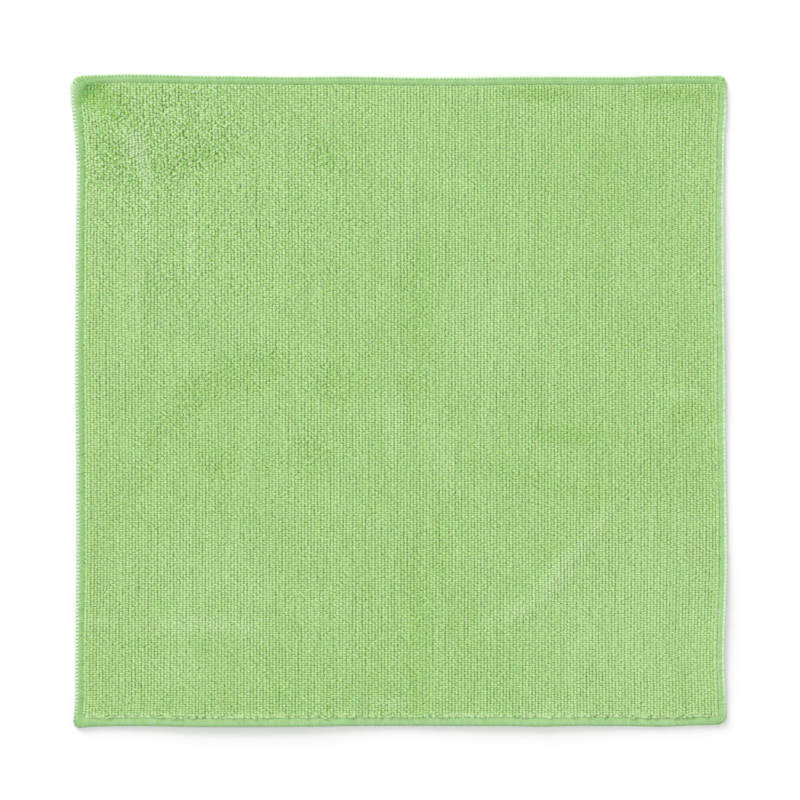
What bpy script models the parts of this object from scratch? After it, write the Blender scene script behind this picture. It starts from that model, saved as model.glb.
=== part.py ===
"""A square microfibre cloth lying flat, with an overlocked edge.

Metres, +Z up. Seen from above, +X is the cloth's right and +Y its top. The cloth lies on z = 0, and the origin
is the middle of its footprint. It is one closed sheet: a looped pile over the whole field, thinner and rounded
where the overlock stitching binds the four edges, with the soft creases that are left from its folding.
"""

import math
from collections import namedtuple

import bmesh
import bpy

MM = 0.001

# Driving dimensions
SIDE = 400 * MM  # finished width and height of the cloth
HALF = SIDE / 2
PILE_TOP = 2.8 * MM  # tips of the pile above the surface that the cloth lies on
RIM_HEIGHT = 1.1 * MM  # middle of the rounded outer edge
BAND_TOP = 2.3 * MM  # crown of the overlocked band
NEEDLE_TOP = 1.6 * MM  # bottom of the groove along the needle thread
NEEDLE_INSET = 4.9 * MM  # from the outer edge to the needle thread
FIELD_INSET = 9.0 * MM  # where the pile reaches its full height
CORNER_INSETS = (12 * MM, 16 * MM, 21 * MM)  # further mesh lines, where the band turns its widest corner
FIELD_STEP = 12 * MM  # spacing of the mesh over the field

# The section across an edge, from the outside in. Both faces meet at the rim.
SectionPoint = namedtuple("SectionPoint", "inset top bottom")
EDGE_SECTION = (
    SectionPoint(0.0, RIM_HEIGHT, RIM_HEIGHT),
    SectionPoint(0.5 * MM, 1.75 * MM, 0.45 * MM),
    SectionPoint(1.3 * MM, 2.15 * MM, 0.15 * MM),
    SectionPoint(2.5 * MM, BAND_TOP, 0.10 * MM),
    SectionPoint(3.9 * MM, 2.05 * MM, 0.20 * MM),
    SectionPoint(NEEDLE_INSET, NEEDLE_TOP, 0.45 * MM),
    SectionPoint(5.8 * MM, 2.35 * MM, 0.15 * MM),
    SectionPoint(7.2 * MM, 2.70 * MM, 0.0),
    SectionPoint(FIELD_INSET, PILE_TOP, 0.0),
)

# How far each side stands out of the square. Along runs from -1 at the left or bottom end to 1.
EdgePoint = namedtuple("EdgePoint", "along out")
LEFT_EDGE = (
    EdgePoint(-1.00, 1.0 * MM),
    EdgePoint(-0.90, 0.0),
    EdgePoint(-0.52, -0.7 * MM),
    EdgePoint(-0.22, -0.5 * MM),
    EdgePoint(0.10, 0.0),
    EdgePoint(0.45, -0.3 * MM),
    EdgePoint(0.70, -1.0 * MM),
    EdgePoint(0.82, 0.0),
    EdgePoint(0.87, 1.3 * MM),
    EdgePoint(0.92, 2.3 * MM),
    EdgePoint(1.00, 2.1 * MM),
)
RIGHT_EDGE = (
    EdgePoint(-1.00, 0.2 * MM),
    EdgePoint(-0.92, 0.1 * MM),
    EdgePoint(-0.80, -0.9 * MM),
    EdgePoint(-0.48, 0.9 * MM),
    EdgePoint(0.00, -0.1 * MM),
    EdgePoint(0.45, -1.1 * MM),
    EdgePoint(0.62, -1.2 * MM),
    EdgePoint(0.80, -0.6 * MM),
    EdgePoint(0.91, 0.7 * MM),
    EdgePoint(1.00, 0.2 * MM),
)
TOP_EDGE = (
    EdgePoint(-1.00, -0.3 * MM),
    EdgePoint(-0.93, 0.6 * MM),
    EdgePoint(-0.83, 1.1 * MM),
    EdgePoint(-0.55, 0.0),
    EdgePoint(-0.30, -0.5 * MM),
    EdgePoint(-0.18, -0.2 * MM),
    EdgePoint(0.06, -1.1 * MM),
    EdgePoint(0.20, -1.1 * MM),
    EdgePoint(0.33, -0.7 * MM),
    EdgePoint(0.45, -0.5 * MM),
    EdgePoint(0.68, -0.6 * MM),
    EdgePoint(0.80, 0.2 * MM),
    EdgePoint(0.92, 0.2 * MM),
    EdgePoint(1.00, -0.3 * MM),
)
BOTTOM_EDGE = (
    EdgePoint(-1.00, 0.1 * MM),
    EdgePoint(-0.80, -0.5 * MM),
    EdgePoint(-0.62, 0.0),
    EdgePoint(-0.35, -0.1 * MM),
    EdgePoint(-0.10, -0.6 * MM),
    EdgePoint(0.30, -0.6 * MM),
    EdgePoint(0.43, -0.2 * MM),
    EdgePoint(0.56, -0.6 * MM),
    EdgePoint(0.68, -0.5 * MM),
    EdgePoint(0.80, 0.0),
    EdgePoint(0.93, -1.0 * MM),
    EdgePoint(1.00, -1.4 * MM),
)
BOW_REACH = 4  # power of the fall-off: a side's bow fades out within about 100 mm

# Radii of each corner at the rim and along the needle thread, by the signs of x and y
Corner = namedtuple("Corner", "rim needle")
CORNERS = {
    (-1, 1): Corner(5.4 * MM, 17.0 * MM),
    (1, 1): Corner(3.6 * MM, 5.0 * MM),
    (1, -1): Corner(5.2 * MM, 5.0 * MM),
    (-1, -1): Corner(2.6 * MM, 4.5 * MM),
}
ROUNDING_END = 33 * MM  # lines further in than this keep square corners

# Soft creases. A positive height lifts the whole cloth off the surface and a negative one presses its pile down.
Crease = namedtuple("Crease", "name x y length width turn height")
CREASES = (
    Crease("corner_ridge", -172 * MM, 164 * MM, 66 * MM, 26 * MM, -58, 1.6 * MM),
    Crease("corner_hollow", -184 * MM, 186 * MM, 44 * MM, 26 * MM, 40, -0.5 * MM),
    Crease("brushed_hollow", -123 * MM, 147 * MM, 104 * MM, 38 * MM, 16, -0.6 * MM),
    Crease("small_hollow", -49 * MM, 154 * MM, 44 * MM, 28 * MM, 0, -0.4 * MM),
    Crease("left_ridge", -162 * MM, 62 * MM, 120 * MM, 34 * MM, 90, 0.8 * MM),
    Crease("arc_hollow_upper", -100 * MM, 10 * MM, 84 * MM, 38 * MM, 30, -0.6 * MM),
    Crease("arc_hollow_lower", -147 * MM, -36 * MM, 100 * MM, 38 * MM, 53, -0.5 * MM),
    Crease("centre_fold_upper", 7 * MM, 41 * MM, 160 * MM, 28 * MM, 90, -0.4 * MM),
    Crease("centre_fold_middle", 16 * MM, -86 * MM, 90 * MM, 28 * MM, 80, -0.4 * MM),
    Crease("centre_fold_lower", 3 * MM, -158 * MM, 90 * MM, 28 * MM, 90, -0.4 * MM),
    Crease("slant_ridge", 95 * MM, -104 * MM, 124 * MM, 27 * MM, 48, 1.2 * MM),
    Crease("cross_ridge", -129 * MM, -136 * MM, 150 * MM, 27 * MM, 0, 0.8 * MM),
    Crease("right_hollow", 103 * MM, -19 * MM, 64 * MM, 28 * MM, 0, -0.5 * MM),
    Crease("right_pinch", 172 * MM, 8 * MM, 46 * MM, 26 * MM, 0, 0.7 * MM),
    Crease("low_right_swell", 166 * MM, -120 * MM, 100 * MM, 64 * MM, 60, 1.0 * MM),
    Crease("bottom_left_lift", -92 * MM, -200 * MM, 210 * MM, 60 * MM, 0, 1.8 * MM),
    Crease("bottom_right_lift", 70 * MM, -200 * MM, 180 * MM, 50 * MM, 0, 1.2 * MM),
    Crease("right_lower_lift", 200 * MM, -140 * MM, 130 * MM, 50 * MM, 90, 1.3 * MM),
    Crease("right_upper_lift", 200 * MM, 50 * MM, 200 * MM, 40 * MM, 90, 0.8 * MM),
    Crease("top_lift", 60 * MM, 200 * MM, 260 * MM, 46 * MM, 0, 1.2 * MM),
    Crease("left_lower_lift", -200 * MM, -120 * MM, 150 * MM, 40 * MM, 90, 0.8 * MM),
)

CLOTH_GREEN = (0.37, 0.60, 0.22, 1.0)  # linear
CLOTH_ROUGHNESS = 0.95


def clear_scene():
    for obj in list(bpy.data.objects):
        bpy.data.objects.remove(obj, do_unlink=True)


def between(points, key, value, at):
    """The value of a table's rows at a place between them, eased so that the line has no corners."""
    for before, after in zip(points, points[1:]):
        if at <= getattr(after, key):
            break
    start, end = getattr(before, key), getattr(after, key)
    share = min(max((at - start) / (end - start), 0.0), 1.0)
    eased = share * share * (3 - 2 * share)
    return getattr(before, value) * (1 - eased) + getattr(after, value) * eased


def edge_lines():
    """Positions of the mesh lines across the cloth: close together in the edge section, even in the field."""
    insets = [point.inset for point in EDGE_SECTION] + list(CORNER_INSETS)
    field = SIDE - 2 * insets[-1]
    cells = round(field / FIELD_STEP)
    inner = [insets[-1] - HALF + field * cell / cells for cell in range(1, cells)]
    return [-HALF + inset for inset in insets] + inner + [HALF - inset for inset in reversed(insets)]


def corner_radius(corner, inset):
    """Radius of the line that runs round the cloth at an inset."""
    if inset <= NEEDLE_INSET:
        return corner.rim + (corner.needle - corner.rim) * inset / NEEDLE_INSET
    return corner.needle * max(ROUNDING_END - inset, 0) / (ROUNDING_END - NEEDLE_INSET)


def round_corner(a, b):
    """Pulls a point of the square inwards, so that each line round the cloth turns its corners on an arc."""
    signs = (1 if a > 0 else -1, 1 if b > 0 else -1)
    reach, other = max(abs(a), abs(b)), min(abs(a), abs(b))
    radius = corner_radius(CORNERS[signs], HALF - reach)
    core = reach - radius
    if other <= core:
        return a, b
    along = (other - core) / radius
    outer = core + radius * math.sqrt(1 - along * along / 2)
    inner = core + radius * along * math.sqrt(0.5)
    x, y = (outer, inner) if abs(a) >= abs(b) else (inner, outer)
    return signs[0] * x, signs[1] * y


def footprint(a, b):
    """Where a point of the plain square lies once its sides bow and its corners are round."""
    x, y = round_corner(a, b)
    u, v = x / HALF, y / HALF
    x += between(RIGHT_EDGE, "along", "out", v) * max(u, 0) ** BOW_REACH
    x -= between(LEFT_EDGE, "along", "out", v) * max(-u, 0) ** BOW_REACH
    y += between(TOP_EDGE, "along", "out", u) * max(v, 0) ** BOW_REACH
    y -= between(BOTTOM_EDGE, "along", "out", u) * max(-v, 0) ** BOW_REACH
    return x, y


def crease_height(crease, x, y):
    """Height of one crease at a point: full along its middle, and exactly nothing past its outline."""
    turn = math.radians(crease.turn)
    east, north = x - crease.x, y - crease.y
    along = (east * math.cos(turn) + north * math.sin(turn)) / (crease.length / 2)
    across = (north * math.cos(turn) - east * math.sin(turn)) / (crease.width / 2)
    fall = max(0.0, 1 - along * along - across * across)
    return crease.height * fall * fall


def relief(x, y):
    """(how far the cloth is lifted, how far its pile is pressed down) at a point."""
    heights = [crease_height(crease, x, y) for crease in CREASES]
    return sum(h for h in heights if h > 0), -sum(h for h in heights if h < 0)


def cloth_mesh():
    """Two grids that share their rim: the pile side above and the underside below."""
    lines = edge_lines()
    last = len(lines) - 1
    mesh = bmesh.new()
    upper, lower = {}, {}
    for i, a in enumerate(lines):
        for j, b in enumerate(lines):
            x, y = footprint(a, b)
            inset = HALF - max(abs(a), abs(b))
            top = between(EDGE_SECTION, "inset", "top", inset)
            bottom = between(EDGE_SECTION, "inset", "bottom", inset)
            lift, press = relief(x, y)
            upper[i, j] = mesh.verts.new((x, y, top + lift - press * (inset > 0)))
            on_rim = i in (0, last) or j in (0, last)
            lower[i, j] = upper[i, j] if on_rim else mesh.verts.new((x, y, bottom + lift))
    ring = ((0, 0), (1, 0), (1, 1), (0, 1))
    for i in range(last):
        for j in range(last):
            mesh.faces.new([upper[i + di, j + dj] for di, dj in ring])
            mesh.faces.new([lower[i + di, j + dj] for di, dj in reversed(ring)])
    return mesh


def centre_footprint(mesh):
    """Puts the origin in the middle of the footprint."""
    xs = [vert.co.x for vert in mesh.verts]
    ys = [vert.co.y for vert in mesh.verts]
    middle = ((min(xs) + max(xs)) / 2, (min(ys) + max(ys)) / 2, 0)
    bmesh.ops.translate(mesh, verts=mesh.verts, vec=[-value for value in middle])


def fabric_material():
    material = bpy.data.materials.new("green_microfibre")
    material.use_nodes = True
    surface = material.node_tree.nodes["Principled BSDF"]
    surface.inputs["Base Color"].default_value = CLOTH_GREEN
    surface.inputs["Roughness"].default_value = CLOTH_ROUGHNESS
    surface.inputs["Metallic"].default_value = 0.0
    return material


def build_cloth():
    mesh = cloth_mesh()
    centre_footprint(mesh)
    data = bpy.data.meshes.new("cloth")
    mesh.to_mesh(data)
    mesh.free()
    data.shade_smooth()
    data.materials.append(fabric_material())
    cloth = bpy.data.objects.new("cloth", data)
    bpy.context.scene.collection.objects.link(cloth)
    return cloth


clear_scene()
build_cloth()
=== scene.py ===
"""Dresses the square microfibre cloth: its knitted ground, looped pile and overlocked edge.

Metres, +Z up. The cloth lies on z = 0 with its top side towards +Y. The plan of the cloth (its bowed sides,
round corners and creases) is given by the same named sizes and tables as its solid.
"""

import math
from collections import namedtuple
from functools import partial

import bpy
import numpy as np
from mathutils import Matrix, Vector


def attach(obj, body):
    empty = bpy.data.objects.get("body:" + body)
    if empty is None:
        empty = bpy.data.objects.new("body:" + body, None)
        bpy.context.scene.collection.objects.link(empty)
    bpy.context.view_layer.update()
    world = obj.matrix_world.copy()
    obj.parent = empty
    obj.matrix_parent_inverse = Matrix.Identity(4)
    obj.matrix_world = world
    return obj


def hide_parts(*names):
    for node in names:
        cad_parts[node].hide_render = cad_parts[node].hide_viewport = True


MM = 0.001


def table(columns, *rows):
    """Rows with named columns. Those headed /mm are written in millimetres."""
    kind = namedtuple("Row", columns.replace("/mm", ""))
    heads = columns.split()
    return [
        kind(*(value * MM if head.endswith("/mm") else value for head, value in zip(heads, row)))
        for row in rows
    ]


# --- Plan of the cloth, as in its solid ---

SIDE = 400 * MM
HALF = SIDE / 2
PILE_TOP = 2.8 * MM
RIM_HEIGHT = 1.1 * MM
BAND_TOP = 2.3 * MM
NEEDLE_TOP = 1.6 * MM
NEEDLE_INSET = 4.9 * MM
FIELD_INSET = 9.0 * MM
CORNER_INSETS = (12 * MM, 16 * MM, 21 * MM)  # of the mesh lines that follow the round corners further in
MIDDLE = (-0.700 * MM, 0.502 * MM)  # middle of the footprint, which is the origin
UV_SIDE = 1.04 * SIDE  # what the UV map spans

EDGE_SECTION = table(
    "inset top bottom",
    (0.0, RIM_HEIGHT, RIM_HEIGHT),
    (0.5 * MM, 1.75 * MM, 0.45 * MM),
    (1.3 * MM, 2.15 * MM, 0.15 * MM),
    (2.5 * MM, BAND_TOP, 0.10 * MM),
    (3.9 * MM, 2.05 * MM, 0.20 * MM),
    (NEEDLE_INSET, NEEDLE_TOP, 0.45 * MM),
    (5.8 * MM, 2.35 * MM, 0.15 * MM),
    (7.2 * MM, 2.70 * MM, 0.0),
    (FIELD_INSET, PILE_TOP, 0.0),
)

# How far out of the square each side bows, along its half length
LEFT_EDGE = table(
    "along out/mm",
    (-1.00, 1.0), (-0.90, 0.0), (-0.52, -0.7), (-0.22, -0.5), (0.10, 0.0),
    (0.45, -0.3), (0.70, -1.0), (0.82, 0.0), (0.87, 1.3), (0.92, 2.3),
    (1.00, 2.1),
)
RIGHT_EDGE = table(
    "along out/mm",
    (-1.00, 0.2), (-0.92, 0.1), (-0.80, -0.9), (-0.48, 0.9), (0.00, -0.1),
    (0.45, -1.1), (0.62, -1.2), (0.80, -0.6), (0.91, 0.7), (1.00, 0.2),
)
TOP_EDGE = table(
    "along out/mm",
    (-1.00, -0.3), (-0.93, 0.6), (-0.83, 1.1), (-0.55, 0.0), (-0.30, -0.5),
    (-0.18, -0.2), (0.06, -1.1), (0.20, -1.1), (0.33, -0.7), (0.45, -0.5),
    (0.68, -0.6), (0.80, 0.2), (0.92, 0.2), (1.00, -0.3),
)
BOTTOM_EDGE = table(
    "along out/mm",
    (-1.00, 0.1), (-0.80, -0.5), (-0.62, 0.0), (-0.35, -0.1), (-0.10, -0.6),
    (0.30, -0.6), (0.43, -0.2), (0.56, -0.6), (0.68, -0.5), (0.80, 0.0),
    (0.93, -1.0), (1.00, -1.4),
)
BOW_REACH = 4  # how fast the bow fades from the side inwards

SW, SE, NE, NW = (-1, -1), (1, -1), (1, 1), (-1, 1)  # corners of the cloth
Corner = namedtuple("Corner", "rim needle")
CORNERS = {
    NW: Corner(5.4 * MM, 17.0 * MM),
    NE: Corner(3.6 * MM, 5.0 * MM),
    SE: Corner(5.2 * MM, 5.0 * MM),
    SW: Corner(2.6 * MM, 4.5 * MM),
}
ROUNDING_END = 33 * MM  # inset at which the lines round the cloth have square corners
HALVINGS = 22  # in the search for the line on which a point lies

CREASES = table(
    "name x/mm y/mm length/mm width/mm turn height/mm",
    ("corner_ridge", -172, 164, 66, 26, -58, 1.6),
    ("corner_hollow", -184, 186, 44, 26, 40, -0.5),
    ("brushed_hollow", -123, 147, 104, 38, 16, -0.6),
    ("small_hollow", -49, 154, 44, 28, 0, -0.4),
    ("left_ridge", -162, 62, 120, 34, 90, 0.8),
    ("arc_hollow_upper", -100, 10, 84, 38, 30, -0.6),
    ("arc_hollow_lower", -147, -36, 100, 38, 53, -0.5),
    ("centre_fold_upper", 7, 41, 160, 28, 90, -0.4),
    ("centre_fold_middle", 16, -86, 90, 28, 80, -0.4),
    ("centre_fold_lower", 3, -158, 90, 28, 90, -0.4),
    ("slant_ridge", 95, -104, 124, 27, 48, 1.2),
    ("cross_ridge", -129, -136, 150, 27, 0, 0.8),
    ("right_hollow", 103, -19, 64, 28, 0, -0.5),
    ("right_pinch", 172, 8, 46, 26, 0, 0.7),
    ("low_right_swell", 166, -120, 100, 64, 60, 1.0),
    ("bottom_left_lift", -92, -200, 210, 60, 0, 1.8),
    ("bottom_right_lift", 70, -200, 180, 50, 0, 1.2),
    ("right_lower_lift", 200, -140, 130, 50, 90, 1.3),
    ("right_upper_lift", 200, 50, 200, 40, 90, 0.8),
    ("top_lift", 60, 200, 260, 46, 0, 1.2),
    ("left_lower_lift", -200, -120, 150, 40, 90, 0.8),
)

# --- Knit and pile ---

COLUMNS = 198  # of loops, across the cloth
COURSES = 279  # rows of loops, up the cloth
FIELD_LEFT = 6.2 * MM  # insets of the outermost loops
FIELD_RIGHT = 5.8 * MM
FIELD_TOP = 5.9 * MM
FIELD_BOTTOM = 5.8 * MM
FIELD_PLAY = 0.3 * MM  # how far outside those a loop may stand
WALE_PITCH = (SIDE - FIELD_LEFT - FIELD_RIGHT) / (COLUMNS - 1)
COURSE_PITCH = (SIDE - FIELD_TOP - FIELD_BOTTOM) / (COURSES - 1)
COURSE_SLIP = 0.10  # how far each column's courses slip, as a share of a course

GROUND_STEPS = 44  # of the ground's mesh, up the field
GROUND_DROP = 0.24 * MM  # ground below the tips of the pile
BAND_DROP = 0.30 * MM  # ground below the tops of the band's threads
BAND_DROP_SLOPE = 0.6  # how fast it gets that deep from the rim inwards
FIELD_RISE = 1.4 * MM  # from the needle line to where the ribs are full
RIB_RISE = 0.26 * MM  # half the height of the ground's ribs
UNDER_RIB_RISE = 0.24 * MM  # the same on the underside
UNDER_RIB_LIFT = 0.25 * MM  # height of those ribs' middle

LOOP_WIDTH = 2.50 * MM
LOOP_LENGTH = 2.40 * MM
LOOP_HEIGHT = 0.66 * MM
LOOP_SINK = 0.52 * MM  # foot of a loop below the ground's ribs
LOOP_LEAN = 0.25  # how far all loops lean down the cloth, in radians
PILE_PIECES = 4
PILE_SEED = 3
SEED_STEP = 17  # from one piece to the next
LOOP_SEED = 5

STRAY = 0.08 * MM  # how far loops stand off their places
RUFFLED_STRAY = 0.14 * MM  # how much further where the pile is ruffled
TONE_NOISE = 0.078  # how far one loop's tone strays from its neighbours'
RUFFLED_TONE_NOISE = 1.2  # how many times more where the pile is ruffled
COLUMN_NOISE = 0.008  # how far whole columns stray
STRETCH_NOISE = 0.025  # how far stretches of a column do
STREAK_NOISE = 0.010  # how far long streaks of a few columns do
STRETCH = 8 * MM  # length of such a stretch
STREAK = 55 * MM  # length of such a streak
HEIGHT_NOISE = 0.07  # how far one loop's height strays from its neighbours', as a share
RUFFLED_HEIGHT_NOISE = 0.8  # how many times more where the pile is ruffled
STRETCH_HEIGHT = 0.05  # how much taller the loops of a paler stretch are
HEIGHT_LIMITS = (0.45, 1.5)
COLUMN_DRIFT = 0.07 * MM  # how far each column drifts sideways by itself
DRIFT = 16 * MM  # length of one such drift

FIRST_LOOP = 4.7 * MM  # nearest that loops stand to the rim
FIRST_LOOP_SPREAD = 0.9 * MM  # how much further in some of them start
FIRST_LOOP_RISE = 0.8 * MM  # they stand as high as the section does this far inside the needle line
BORDER = 2.4 * MM  # width of the border of loops along the needle line
BORDER_FULL = 0.3  # share of it over which its looks are full
BORDER_PAINTED_LIGHT = 0.13  # how much paler its loops are: painted light against the shade of the groove at the needle line
BOTTOM_PAINTED_LIGHT = 0.6  # how much more of that painted light they have at the bottom
BORDER_SPLAY = 0.45  # how far they lean outwards at the right
BORDER_BULGE = 0.30  # how much wider they are at the bottom and the right
HANGING = 0.40  # share of them at the bottom that hang over the band
OVERHANG = 0.25 * MM  # how much higher the furthest of these stand
HANGING_PAINTED_LIGHT = 0.20  # how much paler they are: painted highlight on their tips
HANGING_HEIGHT = 0.9  # how much longer they are, as a share
HANGING_LEAN = 0.55  # how much further they lean

# Crossing waves that move the loops: plain is how far everywhere, ruffled how much more in ruffled pile
Waves = namedtuple("Waves", "seed lengths plain ruffled")
COLUMN_SWAY = (
    Waves(11, (140 * MM, 70 * MM), 0.25 * MM, 0.0),
    Waves(12, (14 * MM, 9 * MM, 6 * MM), 0.04 * MM, 0.45 * MM),
)
SIDEWAYS_LEAN = (Waves(21, (60 * MM, 25 * MM), 0.03, 0.0), Waves(22, (6 * MM, 4 * MM), 0.04, 0.35))
DOWNWARD_LEAN = (Waves(23, (70 * MM, 30 * MM), 0.03, 0.0), Waves(24, (6 * MM, 4 * MM), 0.0, 0.35))
FIRST_LOOP_WANDER = (Waves(31, (30 * MM, 12 * MM), 0.30 * MM, 0.0),)
CROSSING = 3  # waves of each length
WAVE_SHARE = 1.6 / CROSSING  # keeps their sum between about -1 and 1

# Patches of the pile: where it is brushed, with painted light on crease ridges and painted shade in folds and
# hollows.
# Tone is how much paler or darker it looks, ruffle how far its loops stray.
BRUSHED_AND_SHADED = table(
    "name x/mm y/mm length/mm width/mm turn tone ruffle",
    ("corner_dark", -193, 194, 36, 20, 42, -1.15, 0.2),
    ("corner_mess", -150, 162, 130, 80, 20, 0.07, 0.65),
    ("corner_fringe", -178, 182, 40, 24, -40, -0.16, 0.3),
    ("upper_left", -120, 130, 260, 190, 0, 0.03, 0.35),
    ("corner_ridge", -161, 153, 48, 12, -62, 0.50, 0.0),
    ("corner_ridge_side", -158, 147, 54, 9, -82, 0.40, 0.0),
    ("corner_side_dark", -178, 150, 56, 18, -70, -0.10, 0.1),
    ("brushed_hollow", -134, 148, 60, 18, 14, -0.08, 0.2),
    ("brushed_hollow_end", -106, 156, 44, 20, 25, -0.06, 0.2),
    ("small_hollow", -48, 152, 36, 16, -42, -0.09, 0.4),
    ("top_dark", 84, 189, 60, 12, 0, -0.20, 0.3),
    ("top_right_dark", 166, 188, 80, 13, 0, -0.14, 0.3),
    ("upper_right_dark", 117, 136, 100, 90, 0, -0.06, 0.0),
    ("left_streak", -163, 82, 140, 11, 90, 0.13, 0.0),
    ("left_streak_short", -155, 104, 50, 7, 90, 0.19, 0.0),
    ("left_streak_outer", -186, 102, 90, 13, 90, 0.08, 0.0),
    ("left_streak_inner", -129, 105, 90, 9, 90, 0.13, 0.0),
    ("arc_upper", -97, 18, 80, 36, 18, -0.09, 0.35),
    ("arc_middle", -134, -4, 66, 30, 51, -0.07, 0.3),
    ("arc_lower", -160, -43, 76, 26, 62, -0.02, 0.2),
    ("spot_low_left", -112, -40, 34, 26, 0, -0.08, 0.3),
    ("spot_low", -56, -34, 44, 34, 0, -0.05, 0.3),
    ("spot_mid", -42, 12, 44, 36, 0, -0.07, 0.4),
    ("fold_upper", 9, 61, 96, 30, 90, -0.10, 0.2),
    ("fold_middle", 6, 10, 34, 24, 0, -0.06, 0.2),
    ("fold_side", 25, -92, 70, 13, 90, -0.08, 0.2),
    ("fold_lower", 8, -140, 150, 28, 90, -0.12, 0.1),
    ("fold_light", -5, -14, 54, 16, 90, 0.11, 0.0),
    ("fold_light_side", 26, -32, 40, 12, 90, 0.10, 0.0),
    ("right_light", 55, 49, 100, 70, 90, 0.06, -0.2),
    ("right_dark", 102, -20, 60, 16, 0, -0.13, 0.2),
    ("right_dark_slant", 86, -49, 110, 18, -14, -0.06, 0.1),
    ("slant_light_upper", 120, -78, 52, 14, 55, 0.14, 0.0),
    ("slant_light", 97, -106, 54, 19, 48, 0.19, 0.0),
    ("slant_light_lower", 68, -130, 56, 14, 24, 0.13, 0.0),
    ("cross_light", -121, -137, 90, 13, 0, 0.13, 0.0),
    ("cross_light_end", -186, -135, 30, 8, 0, 0.13, 0.0),
    ("bottom_light", -144, -166, 60, 26, 0, 0.05, 0.0),
    ("bottom_mid_light", -6, -186, 34, 12, 0, 0.16, 0.0),
    ("bottom_right_light", 96, -188, 70, 12, 0, 0.08, 0.0),
    ("low_right_light", 150, -140, 190, 150, 50, 0.08, -0.3),
    ("low_left_light", -129, -116, 130, 90, 0, 0.05, -0.2),
    ("pinch_light", 174, 5, 40, 8, 0, 0.13, 0.0),
    ("pinch_dark", 176, -9, 44, 16, 0, -0.06, 0.1),
)
RUFFLE_LIMITS = (-0.4, 1.0)

# Where the first loops stand nearer to the rim, over the band's threads
COVERED = table(
    "name x/mm y/mm length/mm width/mm turn nearer/mm",
    ("upper_left", -193, 194, 36, 20, 42, 1.8),
    ("upper_right", 195, 194, 22, 22, 0, 1.3),
    ("lower_right", 194, -195, 24, 24, 0, 1.4),
)

# --- Overlock ---

# The overlock on each side, walking round the cloth with its field on the left. Reach is the share of the way
# to the needle line that its threads cover, loft how thick they lie, and needle how high the needle thread
# stands. Level is how pale they are, partly painted light that differs from side to side, glow how much paler
# the rim is painted by painted light, and shade how much paler or darker they are at the needle line, as
# painted light or shade. Beads are the pale threads at the rim: how wide, as a share of the pitch, and how
# far in they end, then how pale they and the dark knots between them are; the beads' paleness is partly
# painted light, and the knots' level paints the shade in the gaps between beads.
OVERLOCKS = table(
    "name start end pitch/mm reach loft/mm needle/mm level glow shade bead_wide bead_end/mm bead knot",
    ("overlock_bottom", SW, SE, 2.12, 1.15, 0.28, 0.56, 0.545, 0.26, -0.10, 0.74, 1.2, 0.52, 0.36),
    ("overlock_right", SE, NE, 2.34, 1.04, 0.20, 0.50, 0.475, 0.56, 0.16, 1.0, 1.4, 1.0, 0.95),
    ("overlock_top", NE, NW, 2.13, 1.0, 0.30, 0.45, 0.50, 0.08, 0.03, 0.74, 1.3, 0.56, 0.0),
    ("overlock_left", NW, SW, 2.30, 1.0, 0.20, 0.45, 0.475, 0.42, 0.03, 0.74, 1.9, 0.86, 0.20),
)
OVERLOCK_SEED = 7
SWAY_SHARE = 0.8  # how far stitches turn, as a share of their unevenness
SHORT_SHARE = 0.4  # how far they fall short of the needle line, likewise
RIM_STEPS = 1200  # of the line that the stitches of one side follow

# The threads of one stitch that slant over and under the band. Start, end and width are shares of the pitch,
# insets the bends, and rise how high they lie over the section. Thick is 0 for the loft of their own side,
# corners are those of their section, and darker is how much darker than the band they are.
OVER_INSETS = (-0.10 * MM, 0.45 * MM, 1.4 * MM, 2.8 * MM, 4.1 * MM, 5.1 * MM)
CROSS_INSETS = (0.1 * MM, 1.2 * MM, 3.0 * MM, 4.9 * MM)
BELOW_INSETS = (-0.08 * MM, 0.6 * MM, 2.4 * MM, 5.0 * MM)
LEGS = table(
    "face start end width insets rise/mm thick/mm corners darker",
    ("top", 0.34, -0.18, 1.34, OVER_INSETS, -0.10, 0, 6, 0.0),
    ("top", -0.40, 0.12, 0.42, CROSS_INSETS, -0.02, 0, 4, 0.02),
    ("bottom", 0.34, -0.18, 1.34, BELOW_INSETS, 0.0, 0.24, 4, 0.0),
    ("bottom", -0.40, 0.06, 0.50, BELOW_INSETS[1:], -0.06, 0.22, 4, 0.05),
)
LOWEST_THREAD = 0.14 * MM  # least height of a thread's middle
BEAD_LOFT = 0.46 * MM
KNOT_WIDTH = 0.28  # share of the pitch
KNOT_LOFT = 0.42 * MM
NEEDLE_WIDTH = 0.95 * MM
NEEDLE_LOFT = 0.60 * MM
NEEDLE_IN = 0.2 * MM  # how far inside the needle line its thread lies
NEEDLE_HALF = 0.40  # half its length, as a share of the pitch
NEEDLE_DIP = 0.30 * MM  # how far its ends dip into the cloth
BLUNT_WIDTH = 0.8  # width of a thread's last ring, as a share
BLUNT_LENGTH = 0.2  # how far its end bulges, as a share of its thickness
SHARPEST_FOLD = math.radians(75)  # that is still shaded round

BAND_LEVEL = 0.475  # how pale the threads under the band are
STRAND = 0.62 * MM  # width of one strand of the thread that fills the band
STRAND_SLANT = 0.52  # how far the strands slant over the band, as a share of the pitch
RIM_LIGHT_REACH = 2.8 * MM
RIM_LIGHT_FALL = 2.2
CORNER_DULL = 22 * MM  # how far from the corners the rim gets its full painted light
UPPER_LEFT_DULL = 0.6  # how much of that dulling the upper left corner has

# --- Colours (linear) and finishes ---

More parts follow.
